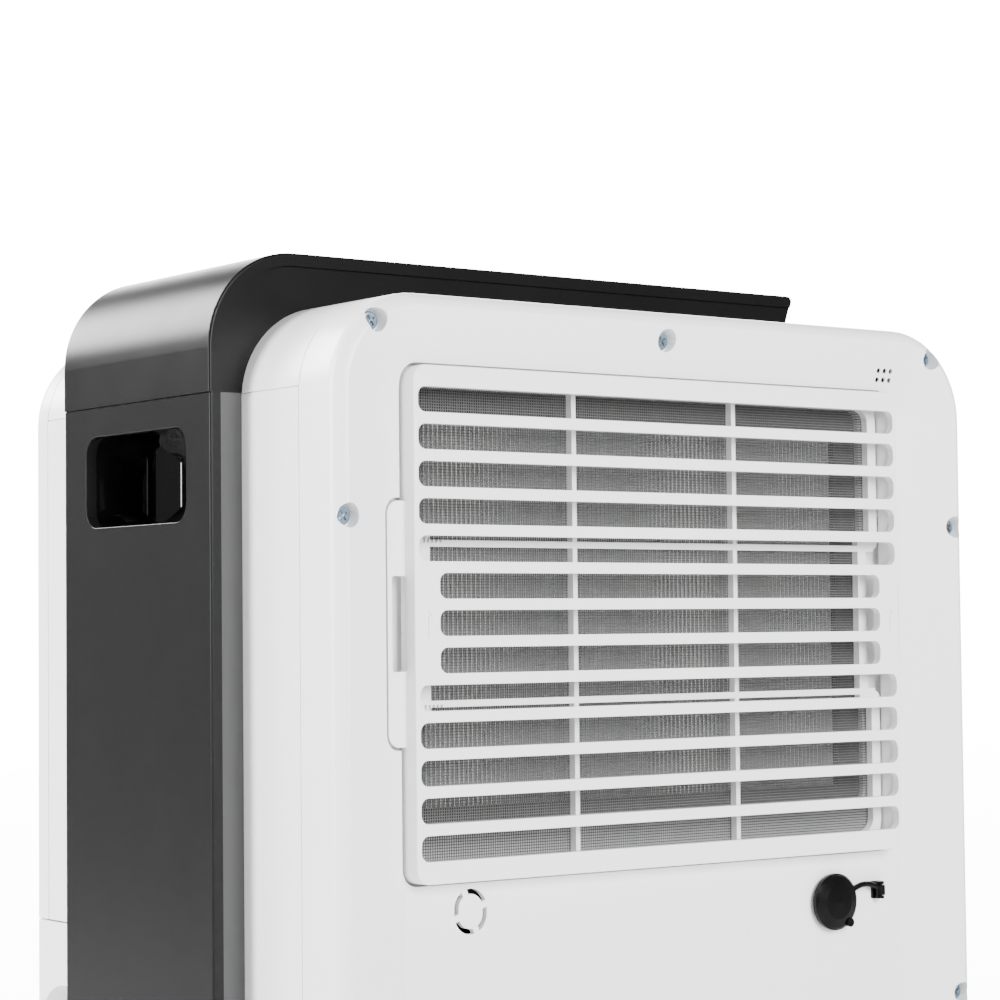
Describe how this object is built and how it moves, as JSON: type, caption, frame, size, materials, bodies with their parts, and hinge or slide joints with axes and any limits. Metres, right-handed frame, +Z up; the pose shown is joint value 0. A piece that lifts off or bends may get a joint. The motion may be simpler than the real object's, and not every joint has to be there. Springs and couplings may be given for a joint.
{
  "type": "dehumidifier",
  "caption": "Free-standing room dehumidifier with a dark wraparound ribbon, slide-in air filter, front water tank, drain plug and casters.",
  "frame": {"origin": "centre of the bounding box at floor level", "axes": "+Z up, +Y towards the rear (air inlet), -Y towards the water tank, +X towards the side with the dark ribbon"},
  "size_m": [0.407, 0.283, 0.615],
  "materials": {
    "white_plastic": "satin white",
    "filter_white": "white",
    "ribbon_black": "satin dark grey",
    "black_gloss": "gloss",
    "grey_plastic": "matte",
    "zinc_screw": "zinc plated",
    "black_rubber": "matte",
    "mesh_grey": "fine woven screen",
    "fin_aluminium": "bare",
    "copper": "tube copper",
    "galvanised": "galvanised sheet",
    "black_paint": "black enamel",
    "board_green": "circuit board",
    "clear_smoke": "translucent",
    "tank_plastic": "frosted",
    "wheel_plastic": "black"
  },
  "bodies": {
    "chassis": {"base_frame": "grey_plastic", "bulkhead": "grey_plastic", "cabinet": "white_plastic", "coil_end_plates": "black_paint", "compressor": "black_paint", "compressor_feet": "black_rubber", "condenser_fins": "fin_aluminium", "condenser_tubes": "copper", "control_board": "board_green", "control_panel": "black_gloss", "display_window": "clear_smoke", "drain_port": "white_plastic", "drip_tray": "grey_plastic", "evaporator_fins": "fin_aluminium", "evaporator_tubes": "copper", "fan_housing": "grey_plastic", "fan_motor": "galvanised", "float_switch": "white_plastic", "front_cover": "white_plastic", "handle_pocket_left": "white_plastic", "handle_pocket_right": "black_gloss", "humidity_sensor": "white_plastic", "outlet_frame": "white_plastic", "plug_anchor": "black_rubber", "power_inlet": "grey_plastic", "rear_cover": "white_plastic", "rear_screws": "zinc_screw", "refrigerant_pipes": "copper", "ribbon_side_panel": "ribbon_black", "ribbon_top_cover": "ribbon_black", "side_channel": "grey_plastic", "top_shell": "white_plastic"},
    "filter": {"filter_grille": "filter_white", "filter_frame": "filter_white", "filter_mesh": "mesh_grey"},
    "tank": {"tank_front": "white_plastic", "tank_grips": "white_plastic", "tank_body": "tank_plastic", "tank_lid": "tank_plastic", "level_window": "clear_smoke"},
    "float": {"tank_float": "tank_plastic"},
    "fan": {"fan_wheel": "grey_plastic"},
    "plug": {"drain_plug": "black_rubber"},
    "key_1": {"button_1": "filter_white"},
    "key_2": {"button_2": "filter_white"},
    "key_3": {"button_3": "filter_white"},
    "key_4": {"button_4": "filter_white"},
    "key_5": {"button_5": "filter_white"},
    "louvre_1": {"louvre_blade_1": "filter_white"},
    "louvre_2": {"louvre_blade_2": "filter_white"},
    "louvre_3": {"louvre_blade_3": "filter_white"},
    "louvre_4": {"louvre_blade_4": "filter_white"},
    "fork_1": {"caster_fork_1": "wheel_plastic"},
    "wheel_1": {"caster_wheel_1": "wheel_plastic"},
    "fork_2": {"caster_fork_2": "wheel_plastic"},
    "wheel_2": {"caster_wheel_2": "wheel_plastic"},
    "fork_3": {"caster_fork_3": "wheel_plastic"},
    "wheel_3": {"caster_wheel_3": "wheel_plastic"},
    "fork_4": {"caster_fork_4": "wheel_plastic"},
    "wheel_4": {"caster_wheel_4": "wheel_plastic"}
  },
  "joints": [
    {"name": "filter_pull", "type": "slide", "parent": "chassis", "child": "filter", "axis": [0, 1, 0], "range_m": [0, 0.06]},
    {"name": "tank_pull", "type": "slide", "parent": "chassis", "child": "tank", "axis": [0, -1, 0], "range_m": [0, 0.25]},
    {"name": "float_lift", "type": "hinge", "parent": "tank", "child": "float", "pos_m": [-0.0868, -0.1228, 0.2792], "axis": [1, 0, 0], "range_deg": [0, 12]},
    {"name": "fan_spin", "type": "hinge", "parent": "chassis", "child": "fan", "pos_m": [-0.009, 0, 0.47025], "axis": [0, 1, 0], "continuous": true},
    {"name": "plug_swing", "type": "hinge", "parent": "chassis", "child": "plug", "pos_m": [-0.14375, 0.1355, 0.3075], "axis": [0, 0, 1], "range_deg": [0, 120]},
    {"name": "press_1", "type": "slide", "parent": "chassis", "child": "key_1", "axis": [0, 1, 0], "range_m": [0, 0.001], "stiffness_N_per_m": 400},
    {"name": "press_2", "type": "slide", "parent": "chassis", "child": "key_2", "axis": [0, 1, 0], "range_m": [0, 0.001], "stiffness_N_per_m": 400},
    {"name": "press_3", "type": "slide", "parent": "chassis", "child": "key_3", "axis": [0, 1, 0], "range_m": [0, 0.001], "stiffness_N_per_m": 400},
    {"name": "press_4", "type": "slide", "parent": "chassis", "child": "key_4", "axis": [0, 1, 0], "range_m": [0, 0.001], "stiffness_N_per_m": 400},
    {"name": "press_5", "type": "slide", "parent": "chassis", "child": "key_5", "axis": [0, 1, 0], "range_m": [0, 0.001], "stiffness_N_per_m": 400},
    {"name": "louvre_turn_1", "type": "hinge", "parent": "chassis", "child": "louvre_1", "pos_m": [-0.1955, 0.01, 0.35925], "axis": [0, 1, 0], "range_deg": [-40, 40]},
    {"name": "louvre_turn_2", "type": "hinge", "parent": "chassis", "child": "louvre_2", "pos_m": [-0.1955, 0.01, 0.38175], "axis": [0, 1, 0], "range_deg": [-40, 40]},
    {"name": "louvre_turn_3", "type": "hinge", "parent": "chassis", "child": "louvre_3", "pos_m": [-0.1955, 0.01, 0.40425], "axis": [0, 1, 0], "range_deg": [-40, 40]},
    {"name": "louvre_turn_4", "type": "hinge", "parent": "chassis", "child": "louvre_4", "pos_m": [-0.1955, 0.01, 0.42675], "axis": [0, 1, 0], "range_deg": [-40, 40]},
    {"name": "swivel_1", "type": "hinge", "parent": "chassis", "child": "fork_1", "pos_m": [0.1455, 0.0995, 0.03], "axis": [0, 0, 1], "continuous": true},
    {"name": "roll_1", "type": "hinge", "parent": "fork_1", "child": "wheel_1", "pos_m": [0.1455, 0.1065, 0.011], "axis": [1, 0, 0], "continuous": true},
    {"name": "swivel_2", "type": "hinge", "parent": "chassis", "child": "fork_2", "pos_m": [-0.1635, 0.0995, 0.03], "axis": [0, 0, 1], "continuous": true},
    {"name": "roll_2", "type": "hinge", "parent": "fork_2", "child": "wheel_2", "pos_m": [-0.1635, 0.1065, 0.011], "axis": [1, 0, 0], "continuous": true},
    {"name": "swivel_3", "type": "hinge", "parent": "chassis", "child": "fork_3", "pos_m": [0.1455, -0.0995, 0.03], "axis": [0, 0, 1], "continuous": true},
    {"name": "roll_3", "type": "hinge", "parent": "fork_3", "child": "wheel_3", "pos_m": [0.1455, -0.0925, 0.011], "axis": [1, 0, 0], "continuous": true},
    {"name": "swivel_4", "type": "hinge", "parent": "chassis", "child": "fork_4", "pos_m": [-0.1635, -0.0995, 0.03], "axis": [0, 0, 1], "continuous": true},
    {"name": "roll_4", "type": "hinge", "parent": "fork_4", "child": "wheel_4", "pos_m": [-0.1635, -0.0925, 0.011], "axis": [1, 0, 0], "continuous": true}
  ],
  "couplings": [
    {"joint": "louvre_turn_2", "follows": "louvre_turn_1", "ratio": 1},
    {"joint": "louvre_turn_3", "follows": "louvre_turn_1", "ratio": 1},
    {"joint": "louvre_turn_4", "follows": "louvre_turn_1", "ratio": 1}
  ]
}
